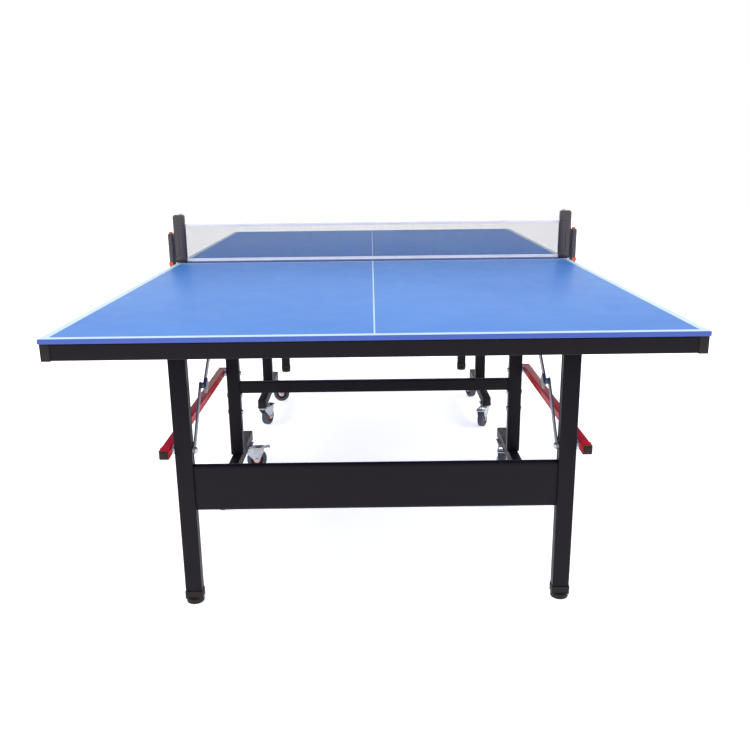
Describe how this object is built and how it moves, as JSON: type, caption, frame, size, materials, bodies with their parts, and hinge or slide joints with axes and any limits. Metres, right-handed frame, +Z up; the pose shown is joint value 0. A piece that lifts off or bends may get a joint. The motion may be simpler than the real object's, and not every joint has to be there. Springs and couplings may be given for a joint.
{
  "type": "ping pong table",
  "caption": "Folding ping pong table on casters: blue playing surface on black frames with red links, zinc stays and a clamped net.",
  "frame": {"origin": "on the floor, under the middle of the table", "axes": "+X across the table, +Y along its length from the near half to the far half, +Z up"},
  "size_m": [1.562, 2.74, 0.95],
  "materials": {
    "blue_panel": "blue lacquer, half matt, with painted white lines",
    "white_paint": "painted white line",
    "black_steel": "black powder coat, satin",
    "black_plastic": "moulded black plastic, fine texture",
    "red_steel": "red powder coat, gloss",
    "zinc_steel": "zinc plate",
    "grey_tyre": "grey tread",
    "net_cord": "dark knotted cord",
    "white_tape": "woven white tape",
    "post_plastic": "moulded charcoal plastic",
    "orange_plastic": "moulded orange plastic"
  },
  "bodies": {
    "near_carriage": {"near_posts": "black_steel", "near_crossbar": "black_steel", "near_base_beams": "black_steel", "near_post_bolts": "zinc_steel", "near_caster_mounts": "zinc_steel"},
    "near_top": {"near_top_panel": "blue_panel", "near_apron": "black_steel", "near_hinge_rails": "black_steel", "near_corner_caps": "black_plastic", "near_hinge_rivets": "zinc_steel", "net_housings": "post_plastic"},
    "near_legs": {"near_legs": "black_steel", "near_leg_panel": "black_steel", "near_foot_caps": "black_plastic", "near_leg_bolts": "zinc_steel"},
    "near_links": {"near_links": "red_steel"},
    "near_stays_upper": {"near_stay_upper": "zinc_steel"},
    "near_stays_lower": {"near_stay_lower": "zinc_steel"},
    "near_left_inner_swivel": {"near_left_inner_fork": "zinc_steel"},
    "near_left_inner_roll": {"near_left_inner_wheel": "grey_tyre"},
    "near_left_inner_pedal": {"near_left_inner_brake": "zinc_steel"},
    "near_left_outer_swivel": {"near_left_outer_fork": "zinc_steel"},
    "near_left_outer_roll": {"near_left_outer_wheel": "grey_tyre"},
    "near_right_inner_swivel": {"near_right_inner_fork": "zinc_steel"},
    "near_right_inner_roll": {"near_right_inner_wheel": "grey_tyre"},
    "near_right_inner_pedal": {"near_right_inner_brake": "zinc_steel"},
    "near_right_outer_swivel": {"near_right_outer_fork": "zinc_steel"},
    "near_right_outer_roll": {"near_right_outer_wheel": "grey_tyre"},
    "far_carriage": {"far_posts": "black_steel", "far_crossbar": "black_steel", "far_base_beams": "black_steel", "far_post_bolts": "zinc_steel", "far_caster_mounts": "zinc_steel"},
    "far_top": {"far_top_panel": "blue_panel", "far_apron": "black_steel", "far_hinge_rails": "black_steel", "far_corner_caps": "black_plastic", "far_hinge_rivets": "zinc_steel"},
    "far_legs": {"far_legs": "black_steel", "far_leg_panel": "black_steel", "far_foot_caps": "black_plastic", "far_leg_bolts": "zinc_steel"},
    "far_links": {"far_links": "red_steel"},
    "far_stays_upper": {"far_stay_upper": "zinc_steel"},
    "far_stays_lower": {"far_stay_lower": "zinc_steel"},
    "far_left_inner_swivel": {"far_left_inner_fork": "zinc_steel"},
    "far_left_inner_roll": {"far_left_inner_wheel": "grey_tyre"},
    "far_left_inner_pedal": {"far_left_inner_brake": "zinc_steel"},
    "far_left_outer_swivel": {"far_left_outer_fork": "zinc_steel"},
    "far_left_outer_roll": {"far_left_outer_wheel": "grey_tyre"},
    "far_right_inner_swivel": {"far_right_inner_fork": "zinc_steel"},
    "far_right_inner_roll": {"far_right_inner_wheel": "grey_tyre"},
    "far_right_inner_pedal": {"far_right_inner_brake": "zinc_steel"},
    "far_right_outer_swivel": {"far_right_outer_fork": "zinc_steel"},
    "far_right_outer_roll": {"far_right_outer_wheel": "grey_tyre"},
    "net_set": {"net_mesh": "net_cord", "net_tape": "white_tape", "net_posts": "post_plastic"},
    "net_release_left": {"net_button_left": "orange_plastic"},
    "net_release_right": {"net_button_right": "orange_plastic"}
  },
  "joints": [
    {"name": "halves_apart", "type": "slide", "parent": "near_carriage", "child": "far_carriage", "axis": [0, 1, 0], "range_m": [0, 0.6]},
    {"name": "near_top_fold", "type": "hinge", "parent": "near_carriage", "child": "near_top", "pos_m": [0, -0.445, 0.691], "axis": [-1, 0, 0], "range_deg": [0, 90]},
    {"name": "near_legs_fold", "type": "hinge", "parent": "near_top", "child": "near_legs", "pos_m": [0, -1.205, 0.691], "axis": [1, 0, 0], "range_deg": [0, 90]},
    {"name": "near_links_fold", "type": "hinge", "parent": "near_carriage", "child": "near_links", "pos_m": [0, -0.445, 0.43], "axis": [-1, 0, 0], "range_deg": [0, 90]},
    {"name": "near_stays_upper_fold", "type": "hinge", "parent": "near_top", "child": "near_stays_upper", "pos_m": [0, -0.92, 0.691], "axis": [-1, 0, 0], "range_deg": [0, 37.5]},
    {"name": "near_stays_lower_fold", "type": "hinge", "parent": "near_legs", "child": "near_stays_lower", "pos_m": [0, -1.205, 0.43], "axis": [1, 0, 0], "range_deg": [0, 41.7]},
    {"name": "near_left_inner_swivel", "type": "hinge", "parent": "near_carriage", "child": "near_left_inner_swivel", "pos_m": [-0.49, -0.25, 0.0825], "axis": [0, 0, 1], "continuous": true},
    {"name": "near_left_inner_spin", "type": "hinge", "parent": "near_left_inner_swivel", "child": "near_left_inner_roll", "pos_m": [-0.45435, -0.24499, 0.0375], "axis": [-0.1392, 0.9903, 0], "continuous": true},
    {"name": "near_left_inner_brake_press", "type": "hinge", "parent": "near_left_inner_swivel", "child": "near_left_inner_pedal", "pos_m": [-0.43256, -0.24193, 0.0765], "axis": [-0.1392, 0.9903, 0], "range_deg": [0, 15]},
    {"name": "near_left_outer_swivel", "type": "hinge", "parent": "near_carriage", "child": "near_left_outer_swivel", "pos_m": [-0.49, -0.64, 0.0825], "axis": [0, 0, 1], "continuous": true},
    {"name": "near_left_outer_spin", "type": "hinge", "parent": "near_left_outer_swivel", "child": "near_left_outer_roll", "pos_m": [-0.52118, -0.622, 0.0375], "axis": [-0.5, -0.866, 0], "continuous": true},
    {"name": "near_right_inner_swivel", "type": "hinge", "parent": "near_carriage", "child": "near_right_inner_swivel", "pos_m": [0.49, -0.25, 0.0825], "axis": [0, 0, 1], "continuous": true},
    {"name": "near_right_inner_spin", "type": "hinge", "parent": "near_right_inner_swivel", "child": "near_right_inner_roll", "pos_m": [0.4819, -0.28508, 0.0375], "axis": [0.9744, -0.225, 0], "continuous": true},
    {"name": "near_right_inner_brake_press", "type": "hinge", "parent": "near_right_inner_swivel", "child": "near_right_inner_pedal", "pos_m": [0.47695, -0.30651, 0.0765], "axis": [0.9744, -0.225, 0], "range_deg": [0, 15]},
    {"name": "near_right_outer_swivel", "type": "hinge", "parent": "near_carriage", "child": "near_right_outer_swivel", "pos_m": [0.49, -0.64, 0.0825], "axis": [0, 0, 1], "continuous": true},
    {"name": "near_right_outer_spin", "type": "hinge", "parent": "near_right_outer_swivel", "child": "near_right_outer_roll", "pos_m": [0.48375, -0.60455, 0.0375], "axis": [-0.9848, -0.1736, 0], "continuous": true},
    {"name": "far_top_fold", "type": "hinge", "parent": "far_carriage", "child": "far_top", "pos_m": [0, 0.445, 0.691], "axis": [1, 0, 0], "range_deg": [0, 90]},
    {"name": "far_legs_fold", "type": "hinge", "parent": "far_top", "child": "far_legs", "pos_m": [0, 1.205, 0.691], "axis": [-1, 0, 0], "range_deg": [0, 90]},
    {"name": "far_links_fold", "type": "hinge", "parent": "far_carriage", "child": "far_links", "pos_m": [0, 0.445, 0.43], "axis": [1, 0, 0], "range_deg": [0, 90]},
    {"name": "far_stays_upper_fold", "type": "hinge", "parent": "far_top", "child": "far_stays_upper", "pos_m": [0, 0.92, 0.691], "axis": [1, 0, 0], "range_deg": [0, 37.5]},
    {"name": "far_stays_lower_fold", "type": "hinge", "parent": "far_legs", "child": "far_stays_lower", "pos_m": [0, 1.205, 0.43], "axis": [-1, 0, 0], "range_deg": [0, 41.7]},
    {"name": "far_left_inner_swivel", "type": "hinge", "parent": "far_carriage", "child": "far_left_inner_swivel", "pos_m": [-0.49, 0.25, 0.0825], "axis": [0, 0, 1], "continuous": true},
    {"name": "far_left_inner_spin", "type": "hinge", "parent": "far_left_inner_swivel", "child": "far_left_inner_roll", "pos_m": [-0.47769, 0.28383, 0.0375], "axis": [-0.9397, 0.342, 0], "continuous": true},
    {"name": "far_left_inner_brake_press", "type": "hinge", "parent": "far_left_inner_swivel", "child": "far_left_inner_pedal", "pos_m": [-0.47016, 0.3045, 0.0765], "axis": [-0.9397, 0.342, 0], "range_deg": [0, 15]},
    {"name": "far_left_outer_swivel", "type": "hinge", "parent": "far_carriage", "child": "far_left_outer_swivel", "pos_m": [-0.49, 0.64, 0.0825], "axis": [0, 0, 1], "continuous": true},
    {"name": "far_left_outer_spin", "type": "hinge", "parent": "far_left_outer_swivel", "child": "far_left_outer_roll", "pos_m": [-0.45414, 0.64314, 0.0375], "axis": [-0.0872, 0.9962, 0], "continuous": true},
    {"name": "far_right_inner_swivel", "type": "hinge", "parent": "far_carriage", "child": "far_right_inner_swivel", "pos_m": [0.49, 0.25, 0.0825], "axis": [0, 0, 1], "continuous": true},
    {"name": "far_right_inner_spin", "type": "hinge", "parent": "far_right_inner_swivel", "child": "far_right_inner_roll", "pos_m": [0.47479, 0.21737, 0.0375], "axis": [0.9063, -0.4226, 0], "continuous": true},
    {"name": "far_right_inner_brake_press", "type": "hinge", "parent": "far_right_inner_swivel", "child": "far_right_inner_pedal", "pos_m": [0.46549, 0.19743, 0.0765], "axis": [0.9063, -0.4226, 0], "range_deg": [0, 15]},
    {"name": "far_right_outer_swivel", "type": "hinge", "parent": "far_carriage", "child": "far_right_outer_swivel", "pos_m": [0.49, 0.64, 0.0825], "axis": [0, 0, 1], "continuous": true},
    {"name": "far_right_outer_spin", "type": "hinge", "parent": "far_right_outer_swivel", "child": "far_right_outer_roll", "pos_m": [0.47769, 0.67383, 0.0375], "axis": [-0.9397, -0.342, 0], "continuous": true},
    {"name": "net_tilt", "type": "hinge", "parent": "near_top", "child": "net_set", "pos_m": [0, -0.026, 0.782], "axis": [1, 0, 0], "range_deg": [0, 90]},
    {"name": "net_release_left_press", "type": "slide", "parent": "near_top", "child": "net_release_left", "axis": [0, 0, -1], "range_m": [0, 0.004], "stiffness_N_per_m": 900},
    {"name": "net_release_right_press", "type": "slide", "parent": "near_top", "child": "net_release_right", "axis": [0, 0, -1], "range_m": [0, 0.004], "stiffness_N_per_m": 900}
  ],
  "couplings": [
    {"joint": "near_legs_fold", "follows": "near_top_fold", "ratio": 1},
    {"joint": "near_links_fold", "follows": "near_top_fold", "ratio": 1},
    {"joint": "near_stays_upper_fold", "follows": "near_top_fold", "ratio": 0.40553},
    {"joint": "near_stays_lower_fold", "follows": "near_top_fold", "ratio": 0.45267},
    {"joint": "far_legs_fold", "follows": "far_top_fold", "ratio": 1},
    {"joint": "far_links_fold", "follows": "far_top_fold", "ratio": 1},
    {"joint": "far_stays_upper_fold", "follows": "far_top_fold", "ratio": 0.40553},
    {"joint": "far_stays_lower_fold", "follows": "far_top_fold", "ratio": 0.45267},
    {"joint": "net_tilt", "follows": "near_top_fold", "ratio": 1}
  ]
}
